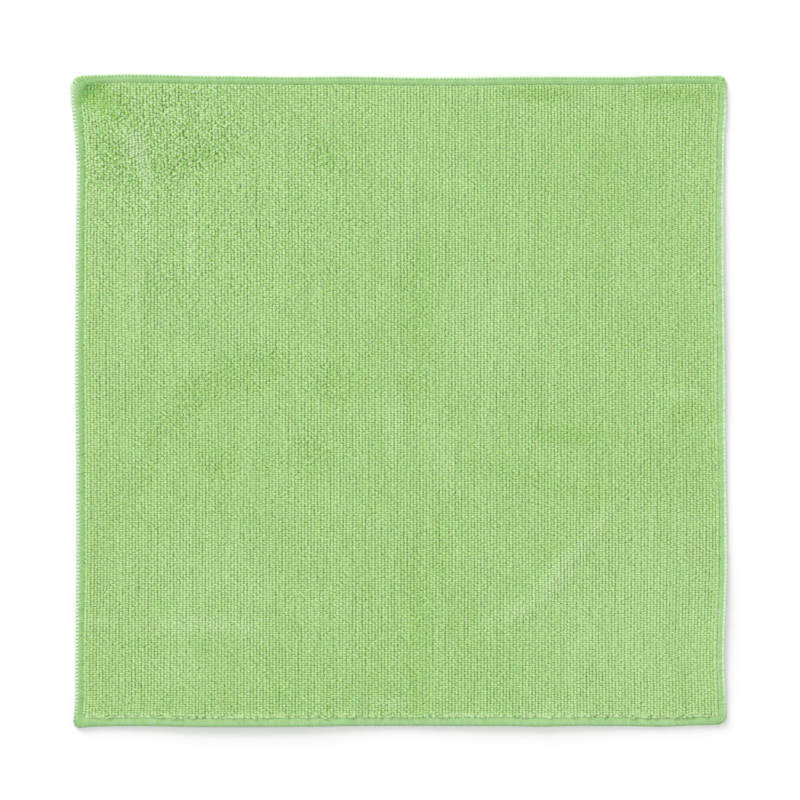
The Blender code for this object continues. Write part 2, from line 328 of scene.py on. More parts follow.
# Strand scale is the noise scale of a fabric's strands, amount how far their tone strays, bump their relief
Fabric = namedtuple("Fabric", "name deep middle pale strand_scale strand_amount bump")
PILE_MIDDLE = (0.342, 0.612, 0.160, 1.0)
PILE_PALE = (0.530, 0.763, 0.368, 1.0)
PILE = Fabric("looped_pile", (0.287, 0.596, 0.092, 1.0), PILE_MIDDLE, PILE_PALE, 5000.0, 0.10, 0.5)
GROUND = Fabric("knitted_ground", (0.260, 0.592, 0.054, 1.0), PILE_MIDDLE, PILE_PALE, 3000.0, 0.25, 0.8)
THREAD = Fabric(
    name="overlock_thread",
    deep=(0.195, 0.415, 0.110, 1.0),
    middle=(0.374, 0.655, 0.252, 1.0),
    pale=(0.860, 0.960, 0.780, 1.0),
    strand_scale=4500.0,
    strand_amount=0.14,
    bump=0.5,
)
FLOOR_WHITE = (0.94, 0.94, 0.94, 1.0)

FOOT_LEVEL = 0.05  # level of a loop's foot, where its tip has 1: the deep foot is painted shade as well as the fibre's deeper colour
GROUND_PATCHES = 700.0  # noise scale of the ground's paler patches
GROUND_UNEVEN = 0.6  # how much of their noise is its level
GROUND_DEPTH = 0.2  # how much deeper in level the field is than the band
STRAND_ROUGHNESS = 0.6
HUE_PATCHES = 420.0  # noise scale of the slow drifts of hue
DARKENING = 0.85  # how fast a fibre darkens below its deepest level, as painted shade
PRESSED_TONE = -0.25  # tone below which pile is pressed flat and painted in deep shade
PRESSED_HUE = 0.019  # how much less yellow it is for each step of tone below that
PRESSED_GREY = 0.16  # how much greyer
THREAD_UNEVEN = 0.035  # how far one stitch's tone strays
THREAD_PRESSED = 0.5  # how much of the pile's dark patches, painted shade among them, goes over the threads
THREAD_DULLING = 0.85  # how much of the painted rim light is gone at the corners


# --- Plan functions, for arrays of points ---


def between(points, key, value, at):
    """The value of a table's rows at places between them, eased so that the line has no corners."""
    keys = np.array([getattr(point, key) for point in points])
    values = np.array([getattr(point, value) for point in points])
    row = np.clip(np.searchsorted(keys, at), 1, len(keys) - 1)
    share = np.clip((at - keys[row - 1]) / (keys[row] - keys[row - 1]), 0.0, 1.0)
    eased = share * share * (3 - 2 * share)
    return values[row - 1] * (1 - eased) + values[row] * eased


def at_corner(x, y, key):
    """One size of the corner that is nearest to each point."""
    sizes = {signs: getattr(corner, key) for signs, corner in CORNERS.items()}
    east = np.where(y > 0, sizes[NE], sizes[SE])
    west = np.where(y > 0, sizes[NW], sizes[SW])
    return np.where(x > 0, east, west)


def corner_radius(x, y, inset):
    """Radius with which the line at an inset turns the corner that is nearest to each point."""
    rim, needle = at_corner(x, y, "rim"), at_corner(x, y, "needle")
    outer = rim + (needle - rim) * inset / NEEDLE_INSET
    inner = needle * np.maximum(ROUNDING_END - inset, 0) / (ROUNDING_END - NEEDLE_INSET)
    return np.where(inset <= NEEDLE_INSET, outer, inner)


def round_corners(a, b):
    """Pulls points of the square inwards, so that each line round the cloth turns its corners on an arc."""
    reach, other = np.maximum(abs(a), abs(b)), np.minimum(abs(a), abs(b))
    radius = corner_radius(a, b, HALF - reach)
    core = reach - radius
    along = np.clip((other - core) / np.maximum(radius, 0.001 * MM), 0, 1)
    outer = core + radius * np.sqrt(1 - along * along / 2)
    inner = np.where(other > core, core + radius * along * math.sqrt(0.5), other)
    first = abs(a) >= abs(b)
    return np.sign(a) * np.where(first, outer, inner), np.sign(b) * np.where(first, inner, outer)


def ring_inset(x, y):
    """How far in from the rim points of the square lie, counted over lines that turn the corners on arcs."""
    low, high = np.zeros_like(x), np.full_like(x, ROUNDING_END)
    for _ in range(HALVINGS):
        inset = (low + high) / 2
        radius = corner_radius(x, y, inset)
        core = HALF - inset - radius
        past_x, past_y = abs(x) - core, abs(y) - core
        turning = (past_x > 0) & (past_y > 0)
        straight = HALF - inset - np.maximum(abs(x), abs(y))
        inside = np.where(turning, radius - np.hypot(past_x, past_y), straight) > 0
        low, high = np.where(inside, inset, low), np.where(inside, high, inset)
    return low


def bow(x, y):
    """Moves points of the square as far as its sides bow."""
    u, v = x / HALF, y / HALF
    sides = ((RIGHT_EDGE, v, u), (LEFT_EDGE, v, -u), (TOP_EDGE, u, v), (BOTTOM_EDGE, u, -v))
    east, west, north, south = (
        between(edge, "along", "out", along) * np.maximum(out, 0) ** BOW_REACH for edge, along, out in sides
    )
    return x + east - west, y + north - south


def footprint(a, b):
    """Where points of the plain square lie on the floor."""
    return bow(*round_corners(a, b))


def placed(x, y, z):
    """Points of the footprint at a height, counted from its middle."""
    return np.stack([x - MIDDLE[0], y - MIDDLE[1], z], axis=-1)


def patch_fall(row, x, y):
    """1 in the middle of a table row's oval, falling softly to 0 at its outline."""
    turn = math.radians(row.turn)
    east, north = x - row.x, y - row.y
    along = (east * math.cos(turn) + north * math.sin(turn)) / (row.length / 2)
    across = (north * math.cos(turn) - east * math.sin(turn)) / (row.width / 2)
    return np.maximum(0.0, 1 - along * along - across * across) ** 2


def relief(x, y):
    """(how far the cloth is lifted, how far its pile is pressed down) at points of the footprint."""
    lift, press = np.zeros_like(x), np.zeros_like(x)
    for crease in CREASES:
        height = crease.height * patch_fall(crease, x, y)
        lift += np.maximum(height, 0)
        press -= np.minimum(height, 0)
    return lift, press


def brushed_and_shaded(x, y):
    """(tone, ruffle) of the pile at points of the footprint. The tone holds painted light and shade as well
    as brushed pile.
    """
    tone, ruffle = np.zeros_like(x), np.zeros_like(x)
    for patch in BRUSHED_AND_SHADED:
        fall = np.sqrt(patch_fall(patch, x, y))
        tone += patch.tone * fall
        ruffle += patch.ruffle * fall
    return tone, np.clip(ruffle, *RUFFLE_LIMITS)


def wander(x, y, waves, ruffle=0):
    """A smooth uneven field: a few crossing waves of each row's lengths, added up."""
    total = np.zeros_like(x)
    for row in waves:
        dice = np.random.default_rng(row.seed)
        field = np.zeros_like(x)
        for length in row.lengths:
            for _ in range(CROSSING):
                turn, phase = dice.uniform(0, 2 * math.pi, 2)
                field += np.sin((x * math.cos(turn) + y * math.sin(turn)) * 2 * math.pi / length + phase)
        total += field * WAVE_SHARE / len(row.lengths) * (row.plain + row.ruffled * ruffle)
    return total


def column_sway(x, y):
    """Sideways drift of the columns of loops, stronger where the pile is brushed."""
    return wander(x, y, COLUMN_SWAY, np.maximum(brushed_and_shaded(x, y)[1], 0))


def in_border(inset):
    """1 at the needle line, falling to 0 at the end of the border of loops along it."""
    return np.clip(1 + BORDER_FULL - (inset - NEEDLE_INSET) / BORDER, 0, 1)


# --- Meshes ---


def link(name, data):
    obj = bpy.data.objects.new(name, data)
    bpy.context.scene.collection.objects.link(obj)
    return obj


def store(data, numbers, vectors=None):
    """Gives a mesh's points named numbers and vectors."""
    for kind, key, layers in (("FLOAT", "value", numbers), ("FLOAT_VECTOR", "vector", vectors or {})):
        for label, values in layers.items():
            layer = data.attributes.new(label, kind, "POINT")
            layer.data.foreach_set(key, np.asarray(values, dtype=np.float32).ravel())


def add_plan_uv(data):
    """A UV map that lays the piece out flat, as seen from above."""
    uv = data.uv_layers.new(name="OFBake")
    corners = np.empty(len(data.loops), dtype=np.int32)
    data.loops.foreach_get("vertex_index", corners)
    spots = np.empty(len(data.vertices) * 3)
    data.vertices.foreach_get("co", spots)
    flat = spots.reshape(-1, 3)[corners, :2] / UV_SIDE + 0.5
    uv.data.foreach_set("uv", flat.astype(np.float32).ravel())


def knit_lines():
    """Mesh lines over the ground: across at every rib and furrow, and up at even steps."""
    insets = [point.inset for point in EDGE_SECTION]
    band = [inset for inset in insets if inset <= NEEDLE_INSET]
    ribs = [-HALF + FIELD_LEFT + WALE_PITCH / 2 * step for step in range(2 * COLUMNS - 1)]
    wide = [-HALF + inset for inset in band] + ribs + [HALF - inset for inset in reversed(band)]
    ends = insets + list(CORNER_INSETS)
    field = SIDE - 2 * ends[-1]
    inner = [ends[-1] - HALF + field * step / GROUND_STEPS for step in range(1, GROUND_STEPS)]
    tall = [-HALF + inset for inset in ends] + inner + [HALF - inset for inset in reversed(ends)]
    return np.array(wide), np.array(tall)


def quads(grid):
    """Faces between neighbouring points of a grid of point numbers."""
    return np.stack([grid[:-1, :-1], grid[1:, :-1], grid[1:, 1:], grid[:-1, 1:]], axis=-1).reshape(-1, 4)


def ground_cloth():
    """The knitted ground: one thin closed sheet, ribbed on both faces inside its overlocked band."""
    wide, tall = knit_lines()
    a, b = np.meshgrid(wide, tall, indexing="ij")
    on_rim = np.ones(a.shape, dtype=bool)
    on_rim[1:-1, 1:-1] = False
    inset = HALF - np.maximum(np.abs(a), np.abs(b))
    in_field = np.clip((inset - NEEDLE_INSET) / FIELD_RISE, 0, 1)
    rib = np.cos((a + HALF - FIELD_LEFT) / WALE_PITCH * 2 * math.pi) * in_field
    x, y = footprint(a + column_sway(a, b) * in_field, b)
    lift, press = relief(x, y)
    # Threads stand on the band, and loops on the field
    in_band = np.minimum(BAND_DROP, inset * BAND_DROP_SLOPE)
    sunk = np.where(inset < NEEDLE_INSET, in_band, GROUND_DROP * in_field)
    top = between(EDGE_SECTION, "inset", "top", inset) + lift - (press + sunk) * ~on_rim + rib * RIB_RISE
    bottom = between(EDGE_SECTION, "inset", "bottom", inset) + lift
    bottom = np.maximum(bottom + UNDER_RIB_LIFT * in_field - rib * UNDER_RIB_RISE, 0.0)
    inside = ~on_rim
    upper = placed(x, y, top).reshape(-1, 3)
    under = placed(x, y, bottom)[inside]
    number = np.arange(a.size).reshape(a.shape)
    lower = number.copy()
    lower[inside] = a.size + np.arange(inside.sum())
    faces = np.concatenate([quads(number), quads(lower)[:, ::-1]])
    data = bpy.data.meshes.new("cloth_ground")
    data.from_pydata(np.concatenate([upper, under]).tolist(), [], faces.tolist())
    data.shade_smooth()
    # The ground's tone: the pile's patches, with their painted light and shade, and painted light along the
    # needle line
    numbers = {"field": in_field, "tone": brushed_and_shaded(x, y)[0] * in_field + BORDER_PAINTED_LIGHT * in_border(inset)}
    for label, values in numbers.items():
        store(data, {label: np.concatenate([values.ravel(), values[inside]])})
    add_plan_uv(data)
    return link("cloth_ground", data)


def along_columns(dice, shape, step):
    """Random values that change smoothly along each column, every so many courses."""
    knots = dice.normal(0, 1, (shape[0], int(shape[1] / step) + 2))
    at = np.arange(shape[1]) / step
    base = at.astype(int)
    share = (at - base)[None, :]
    return knots[:, base] * (1 - share) + knots[:, base + 1] * share


def apart(values):
    """Takes the mean of its four neighbours from each random value, so that only near ones differ."""
    return values - sum(np.roll(values, step, axis) for step in (1, -1) for axis in (0, 1)) / 4


def loop_grid(dice):
    """Where each loop stands in the plain square."""
    column, course = np.meshgrid(np.arange(COLUMNS), np.arange(COURSES), indexing="ij")
    slip = dice.normal(0, COURSE_SLIP, COLUMNS)[:, None]
    a = -HALF + FIELD_LEFT + WALE_PITCH * column
    b = -HALF + FIELD_BOTTOM + COURSE_PITCH * (course + slip)
    return a, np.clip(b, -HALF + FIELD_BOTTOM - FIELD_PLAY, HALF - FIELD_TOP + FIELD_PLAY)


def loop_spots():
    """A point for every loop of pile, with its named numbers and its lean."""
    shape = (COLUMNS, COURSES)
    dice = np.random.default_rng(LOOP_SEED)
    a, b = loop_grid(dice)
    inset = ring_inset(a, b)
    drift = along_columns(dice, shape, DRIFT / COURSE_PITCH) * COLUMN_DRIFT
    x, y = bow(a + column_sway(a, b) + drift, b)
    tone, ruffle = brushed_and_shaded(x, y)
    mess = np.maximum(ruffle, 0)
    stray = STRAY + RUFFLED_STRAY * mess
    x = x + apart(dice.normal(0, 1, shape)) * stray
    y = y + apart(dice.normal(0, 1, shape)) * stray
    lift, press = relief(x, y)

    stretch = along_columns(dice, shape, STRETCH / COURSE_PITCH)
    streak = along_columns(dice, (COLUMNS + 2, COURSES), STREAK / COURSE_PITCH)
    streak = streak[:-2] + streak[1:-1] + streak[2:]
    tone = tone + stretch * STRETCH_NOISE + streak * STREAK_NOISE
    tone = tone + dice.normal(0, COLUMN_NOISE, COLUMNS)[:, None]
    tone = tone + apart(dice.normal(0, TONE_NOISE, shape)) * (1 + RUFFLED_TONE_NOISE * ruffle)
    uneven = apart(dice.normal(0, HEIGHT_NOISE, shape)) * (1 + RUFFLED_HEIGHT_NOISE * ruffle)
    height = np.clip(1 + STRETCH_HEIGHT * stretch + uneven, *HEIGHT_LIMITS)

    first = FIRST_LOOP + dice.uniform(0, FIRST_LOOP_SPREAD, shape)
    first = first - sum(spot.nearer * patch_fall(spot, x, y) for spot in COVERED)
    first = first + wander(x, y, FIRST_LOOP_WANDER)
    border = in_border(inset)
    at_right, at_bottom = border * (a > abs(b)), border * (-b > abs(a))
    # Single loops hang over the bottom band, some further than others
    hang = np.clip(1 - dice.uniform(0, 1, shape) / HANGING, 0, 1) * at_bottom

    top = between(EDGE_SECTION, "inset", "top", np.maximum(inset, NEEDLE_INSET + FIRST_LOOP_RISE))
    z = top + lift - press - GROUND_DROP + RIB_RISE - LOOP_SINK + OVERHANG * hang
    down = LOOP_LEAN + wander(x, y, DOWNWARD_LEAN, mess) + HANGING_LEAN * hang
    sideways = wander(x, y, SIDEWAYS_LEAN, mess) + BORDER_SPLAY * at_right
    lean = np.stack([down, sideways, np.zeros_like(x)], axis=-1)
    # Tone: the pile's patches with painted light and shade, random tone, and painted light by the needle line
    # and on hanging loops
    numbers = {
        "tone": tone + BORDER_PAINTED_LIGHT * (border + BOTTOM_PAINTED_LIGHT * at_bottom) + HANGING_PAINTED_LIGHT * hang,
        "ruffle": mess,
        "height": height * (1 + HANGING_HEIGHT * hang),
        "bulge": 1 + BORDER_BULGE * (at_right + at_bottom),
    }
    kept = inset > first
    return placed(x, y, z)[kept], {label: values[kept] for label, values in numbers.items()}, lean[kept]


def points_object(name, points, numbers, vectors, edges=()):
    """Loose points, or a line of them, that carry named numbers and vectors."""
    data = bpy.data.meshes.new(name)
    data.from_pydata(points.tolist(), edges, [])
    store(data, numbers, vectors)
    return link(name, data)


# --- Nodes ---


def add_node(tree, kind, inputs=None, **settings):
    """Adds a node, sets its properties, then sets or links its inputs by number or name."""
    node = tree.nodes.new(kind)
    for key, value in settings.items():
        setattr(node, key, value)
    for key, value in (inputs or {}).items():
        socket = node.inputs[key]
        if isinstance(value, bpy.types.NodeSocket):
            tree.links.new(value, socket)
        else:
            socket.default_value = value
    return node


def maths(tree, operation, *values):
    return add_node(tree, "ShaderNodeMath", dict(enumerate(values)), operation=operation).outputs[0]


def sums(tree, *operations):
    """Functions that add nodes for the named operations to a tree."""
    return [partial(maths, tree, operation) for operation in operations]


def vector_add(tree, *values):
    return add_node(tree, "ShaderNodeVectorMath", dict(enumerate(values)), operation="ADD").outputs[0]


def join_xyz(tree, x, y, z):
    return add_node(tree, "ShaderNodeCombineXYZ", {0: x, 1: y, 2: z}).outputs[0]


# --- Geometry Nodes ---


def geometry_tree(name, sizes):
    """An empty tree with a geometry input and a named input for each size, those inputs, and its end node."""
    tree = bpy.data.node_groups.new(name, "GeometryNodeTree")
    tree.interface.new_socket("Geometry", in_out="INPUT", socket_type="NodeSocketGeometry")
    for label, value in sizes.items():
        kind = "NodeSocketInt" if isinstance(value, int) else "NodeSocketFloat"
        socket = tree.interface.new_socket(label, in_out="INPUT", socket_type=kind)
        socket.default_value = value
    tree.interface.new_socket("Geometry", in_out="OUTPUT", socket_type="NodeSocketGeometry")
    return tree, tree.nodes.new("NodeGroupInput").outputs, tree.nodes.new("NodeGroupOutput")


def named(tree, label, kind="FLOAT"):
    node = add_node(tree, "GeometryNodeInputNamedAttribute", {"Name": label}, data_type=kind)
    return node.outputs["Attribute"]


def store_named(tree, geometry, label, value):
    return add_node(
        tree,
        "GeometryNodeStoreNamedAttribute",
        {"Geometry": geometry, "Name": label, "Value": value},
        data_type="FLOAT",
        domain="POINT",
    ).outputs[0]


def random_between(tree, seed, low, high, shift):
    """A random number for each point. The shift gives each use its own numbers."""
    node = add_node(tree, "FunctionNodeRandomValue", {2: low, 3: high}, data_type="FLOAT")
    tree.links.new(maths(tree, "ADD", seed, float(shift)), node.inputs["Seed"])
    return node.outputs[1]


def set_on_points(tree, points, instance, turn, scale):
    """Sets a turned, scaled copy of a shape on every point and makes them one real mesh."""
    inputs = {"Points": points, "Instance": instance, "Rotation": turn, "Scale": scale}
    copies = add_node(tree, "GeometryNodeInstanceOnPoints", inputs)
    return add_node(tree, "GeometryNodeRealizeInstances", {0: copies.outputs[0]}).outputs[0]


def shaded(tree, geometry, smooth, chosen=True):
    inputs = {0: geometry, "Selection": chosen, "Shade Smooth": smooth}
    return add_node(tree, "GeometryNodeSetShadeSmooth", inputs).outputs[0]


def end_tree(tree, end, geometry, material):
    dressed = add_node(tree, "GeometryNodeSetMaterial", {0: geometry, "Material": material})
    tree.links.new(dressed.outputs[0], end.inputs[0])
    return tree


def closed_loop(tree, size):
    """One loop of pile: its foot a point, its sides swelling, its crown domed."""
    subtract, multiply, power = sums(tree, "SUBTRACT", "MULTIPLY", "POWER")
    cone = add_node(
        tree,
        "GeometryNodeMeshCone",
        {"Vertices": 4, "Side Segments": 2, "Radius Top": 0.0, "Radius Bottom": 1.0, "Depth": 1.0},
        fill_type="NONE",
    )
    spot = add_node(tree, "GeometryNodeInputPosition").outputs[0]
    x, y, height = add_node(tree, "ShaderNodeSeparateXYZ", {0: spot}).outputs
    arch = multiply(multiply(height, subtract(1.0, height)), 4.0)
    swell = multiply(arch, size["Swell"])
    shaped = join_xyz(tree, multiply(x, swell), multiply(y, swell), power(height, size["Doming"]))
    tipped = store_named(tree, cone.outputs["Mesh"], "tip", height)
    domed = add_node(tree, "GeometryNodeSetPosition", {"Geometry": tipped, "Position": shaped})
    # Its foot runs together in one point, and its flat sides face along and across the columns
    footed = add_node(tree, "GeometryNodeMergeByDistance", {"Geometry": domed.outputs[0], "Distance": 0.01})
    turned = {"Geometry": footed.outputs[0], "Rotation": (0, 0, math.pi / 4)}
    return add_node(tree, "GeometryNodeTransform", turned).outputs[0]


def pile_tree(material):
    """Stands one closed, swelling, leaning loop on every point it is given."""
    sizes = {
        "Loop Width": LOOP_WIDTH,
        "Loop Length": LOOP_LENGTH,
        "Loop Height": LOOP_HEIGHT,
        "Swell": 1.85,
        "Doming": 0.58,
        "Unevenness": 0.09,
        "Stray Lean": 0.10,
        "Twist": 0.3,
        "Crown": 0.4,
        "Seed": PILE_SEED,
    }
    tree, size, end = geometry_tree("loop_pile", sizes)
    add, subtract, multiply = sums(tree, "ADD", "SUBTRACT", "MULTIPLY")
    uneven = [subtract(1.0, size["Unevenness"]), add(1.0, size["Unevenness"])]
    any_of = partial(random_between, tree, size["Seed"])

    # The cone's radius reaches its corners, and the sizes are measured across its sides
    wide = multiply(any_of(*uneven, 1), multiply(size["Loop Width"], math.sqrt(0.5)))
    long = multiply(any_of(*uneven, 2), multiply(size["Loop Length"], math.sqrt(0.5)))
    tall = multiply(multiply(named(tree, "height"), size["Loop Height"]), any_of(*uneven, 3))
    bulge = named(tree, "bulge")
    scale = join_xyz(tree, multiply(wide, bulge), multiply(long, bulge), tall)

    # Loops stray by half of the lean where the pile is plain, and by more where it is ruffled
    reach = multiply(size["Stray Lean"], add(0.5, multiply(named(tree, "ruffle"), 2.0)))
    back = multiply(reach, -1.0)
    twist = any_of(multiply(size["Twist"], -1.0), size["Twist"], 6)
    stray = join_xyz(tree, any_of(back, reach, 4), any_of(back, reach, 5), twist)
    turn = vector_add(tree, named(tree, "lean", "FLOAT_VECTOR"), stray)
    turn = add_node(tree, "FunctionNodeEulerToRotation", {0: turn}).outputs[0]

    whole = set_on_points(tree, size["Geometry"], closed_loop(tree, size), turn, scale)
    # Only the crown of a loop is shaded round, so that its sides don't darken it
    at_crown = {0: named(tree, "tip"), 1: size["Crown"]}
    crown = add_node(tree, "FunctionNodeCompare", at_crown, operation="GREATER_THAN").outputs[0]
    return end_tree(tree, end, shaded(tree, shaded(tree, whole, False), True, crown), material)


def bake_nodes(obj, tree, sizes, name):
    """Runs a tree on an object and returns the result as a plain mesh piece."""
    modifier = obj.modifiers.new("nodes", "NODES")
    modifier.node_group = tree
    for item in tree.interface.items_tree:
        if item.in_out == "INPUT" and item.name in sizes:
            modifier[item.identifier] = sizes[item.name]
    bpy.context.view_layer.update()
    graph = bpy.context.evaluated_depsgraph_get()
    seen = obj.evaluated_get(graph)
    data = bpy.data.meshes.new_from_object(seen, preserve_all_data_layers=True, depsgraph=graph)
    data.name = name
    bpy.data.objects.remove(obj, do_unlink=True)
    add_plan_uv(data)
    return link(name, data)


def make_pile(material):
    """The looped pile of the upper face, in strips that have the same number of loops."""
    tree = pile_tree(material)
    spots, numbers, lean = loop_spots()
    pieces = []
    for strip in range(PILE_PIECES):
        part = slice(len(spots) * strip // PILE_PIECES, len(spots) * (strip + 1) // PILE_PIECES)
        own = {label: values[part] for label, values in numbers.items()}
        source = points_object(f"loop_spots_{strip + 1}", spots[part], own, {"lean": lean[part]})
        pieces.append(bake_nodes(source, tree, {"Seed": PILE_SEED + SEED_STEP * strip}, f"pile_{strip + 1}"))
    return pieces


def swept_thread(path, across, width, thick, corners):
    """Points and faces of a blunt, flattened thread that follows a path and lies flat along one way."""
    path = [Vector(point) for point in path]
    headings = [path[1] - path[0]]
    headings += [after - before for before, after in zip(path, path[2:])]
    headings += [path[-1] - path[-2]]
    points, faces, rings = [], [], []
    for spot, heading in zip(path, headings):
        heading = heading.normalized()
        flat = (across - heading * across.dot(heading)).normalized()
        upright = flat.cross(heading).normalized()
        size = BLUNT_WIDTH if spot in (path[0], path[-1]) else 1.0
        ring = []
        for corner in range(corners):
            turn = 2 * math.pi * (corner + 0.5) / corners
            out = flat * (math.cos(turn) * width) + upright * (math.sin(turn) * thick)
            ring.append(len(points))
            points.append(spot + out * size / 2)
        rings.append(ring)
    for before, after in zip(rings, rings[1:]):
        for k in range(corners):
            faces.append((before[k], after[k], after[(k + 1) % corners], before[(k + 1) % corners]))
    ends = ((rings[0], path[0], -headings[0]), (rings[-1][::-1], path[-1], headings[-1]))
    for ring, spot, heading in ends:
        points.append(spot + heading.normalized() * thick * BLUNT_LENGTH)
        for k in range(corners):
            faces.append((ring[k], ring[(k + 1) % corners], len(points) - 1))
    return points, faces


def slanting(leg, pitch):
    """A straight thread's path over or under the band, from the rim inwards."""
    levels = between(EDGE_SECTION, "inset", leg.face, np.maximum(leg.insets, 0))
    levels = np.maximum(levels + leg.rise, LOWEST_THREAD)
    first, last = leg.insets[0], leg.insets[-1]
    share = [(inset - first) / (last - first) for inset in leg.insets]
    start, end = leg.start * pitch, leg.end * pitch
    return [(start + (end - start) * part, *bend) for part, *bend in zip(share, leg.insets, levels)]


def stitch_threads(row):
    """Each thread of one stitch: its path, the way it lies flat, its width, thickness, corners and level."""
    pitch = row.pitch
    beside, along = Vector((1, 0, 0)), Vector((0, 1, 0))

    def band_level(inset):
        at_rim = max(1 - inset / RIM_LIGHT_REACH, 0)
        at_needle = min(max(inset / NEEDLE_INSET - 0.5, 0) * 2, 1)
        # Paler at the rim by painted light, and paler or darker at the needle line by painted light or shade
        return row.level + row.glow * at_rim**RIM_LIGHT_FALL + row.shade * at_needle

    def thread_level(leg):
        plain = band_level if leg.face == "top" else lambda inset: BAND_LEVEL
        return lambda inset: plain(inset) - leg.darker

    for leg in LEGS:
        thick = leg.thick or row.loft
        yield slanting(leg, pitch), beside, leg.width * pitch, thick, leg.corners, thread_level(leg)
    bead = [
        (0.34 * pitch, 0.0, RIM_HEIGHT + 0.30 * MM),
        (0.33 * pitch, 0.55 * MM, 1.84 * MM),
        (0.30 * pitch, row.bead_end, 2.20 * MM),
    ]
    # The bead's level is the pale thread, painted lighter on the rims that are lit more
    yield bead, beside, row.bead_wide * pitch, BEAD_LOFT, 6, lambda inset: row.bead
    knot = [
        (-0.14 * pitch, 0.0, RIM_HEIGHT + 0.25 * MM),
        (-0.15 * pitch, 0.45 * MM, 1.80 * MM),
        (-0.17 * pitch, 1.30 * MM, 2.15 * MM),
    ]
    # The knot's level paints the shade in the gaps between the beads, pale where the right rim is lit
    yield knot, beside, KNOT_WIDTH * pitch, KNOT_LOFT, 4, lambda inset: row.knot
    needle_top = NEEDLE_TOP + row.needle
    needle = [
        (-NEEDLE_HALF * pitch, NEEDLE_INSET + NEEDLE_IN, needle_top - NEEDLE_DIP),
        (0.0, NEEDLE_INSET + NEEDLE_IN, needle_top),
        (NEEDLE_HALF * pitch, NEEDLE_INSET + NEEDLE_IN, needle_top - NEEDLE_DIP),
    ]
    yield needle, along, NEEDLE_WIDTH, NEEDLE_LOFT, 4, band_level


def stitch_object(row):
    """One overlock stitch: threads over and under the band, bead and knot at the rim, the needle's thread."""
    points, faces, levels = [], [], []
    for path, across, width, thick, corners, level_at in stitch_threads(row):
        more_points, more_faces = swept_thread(path, across, width, thick, corners)
        faces += [tuple(index + len(points) for index in face) for face in more_faces]
        points += more_points
        levels += [level_at(point.y) for point in more_points]
    inner = [min(max(point.y / NEEDLE_INSET, 0), 1) ** 2 for point in points]
    slant = STRAND_SLANT * row.pitch
    strands = [(point.x + slant * point.y / NEEDLE_INSET) / STRAND for point in points]
    data = bpy.data.meshes.new("stitch")
    data.from_pydata([tuple(point) for point in points], [], faces)
    store(data, {"level": levels, "inner": inner, "strands": strands})
    data.set_sharp_from_angle(angle=SHARPEST_FOLD)
    return link("stitch", data)


def rim_object(row):
    """A line along one side's rim, raised as the cloth is. Each point knows the way to the needle line."""
    share = np.linspace(0, 1, RIM_STEPS + 1)
    a, b = ((start + (end - start) * share) * HALF for start, end in zip(row.start, row.end))
    x, y = footprint(a, b)
    inner = 1 - NEEDLE_INSET / HALF
    needle_x, needle_y = footprint(a * inner, b * inner)
    nearest = np.argmin(np.hypot(x[:, None] - needle_x, y[:, None] - needle_y), axis=1)
    needle_x, needle_y = needle_x[nearest], needle_y[nearest]
    inward = np.stack([needle_x - x, needle_y - y, np.zeros_like(x)], axis=-1)
    distance = np.linalg.norm(inward, axis=1)
    dull = np.clip(1 - np.minimum(share, 1 - share) * SIDE / CORNER_DULL, 0, 1)
    numbers = {
        "reach": distance / NEEDLE_INSET * row.reach,
        # The pile's dark patches at the needle line, partly painted shade
        "pressed": np.minimum(brushed_and_shaded(needle_x, needle_y)[0], 0),
        "dull": dull * np.where((x > 0) | (y < 0), 1, UPPER_LEFT_DULL),
    }
    points = placed(x, y, relief(x, y)[0])
    vectors = {"inward": inward / distance[:, None]}
    edges = [(step, step + 1) for step in range(RIM_STEPS)]
    return points_object(row.name + "_rim", points, numbers, vectors, edges)


def overlock_tree(stitch, material):
    """Sets stitches along a rim line. Each lies along the way to the needle line and is a little uneven."""
    sizes = {"Stitch Pitch": 2.2 * MM, "Unevenness": 0.06, "Seed": OVERLOCK_SEED}
    tree, size, end = geometry_tree("overlock", sizes)
    add, subtract, multiply = sums(tree, "ADD", "SUBTRACT", "MULTIPLY")
    any_of = partial(random_between, tree, size["Seed"])

    line = add_node(tree, "GeometryNodeMeshToCurve", {0: size["Geometry"]}).outputs[0]
    spaced = {"Curve": line, "Length": size["Stitch Pitch"]}
    points = add_node(tree, "GeometryNodeCurveToPoints", spaced, mode="LENGTH").outputs["Points"]
    way = {"Vector": named(tree, "inward", "FLOAT_VECTOR")}
    turn = add_node(tree, "FunctionNodeAlignEulerToVector", way, axis="Y", pivot_axis="Z").outputs[0]
    sway = multiply(size["Unevenness"], SWAY_SHARE)
    turn = vector_add(tree, turn, join_xyz(tree, 0.0, 0.0, any_of(multiply(sway, -1.0), sway, 1)))
    uneven = [subtract(1.0, size["Unevenness"]), add(1.0, size["Unevenness"])]
    shortest = subtract(1.0, multiply(size["Unevenness"], SHORT_SHARE))
    reach = multiply(named(tree, "reach"), any_of(shortest, 1.0, 3))
    scale = join_xyz(tree, any_of(*uneven, 2), reach, any_of(*uneven, 4))
    toned = store_named(tree, points, "tone", any_of(-1.0, 1.0, 5))
    shape = add_node(tree, "GeometryNodeObjectInfo", {"Object": stitch}).outputs["Geometry"]
    whole = set_on_points(tree, toned, shape, turn, scale)
    return end_tree(tree, end, shaded(tree, whole, True), material)


def make_overlock(material):
    """The overlock threads along the four sides."""
    pieces = []
    for number, row in enumerate(OVERLOCKS):
        stitch = stitch_object(row)
        sizes = {"Stitch Pitch": row.pitch, "Seed": OVERLOCK_SEED + number}
        pieces.append(bake_nodes(rim_object(row), overlock_tree(stitch, material), sizes, row.name))
        bpy.data.objects.remove(stitch, do_unlink=True)
    return pieces


# --- Materials ---


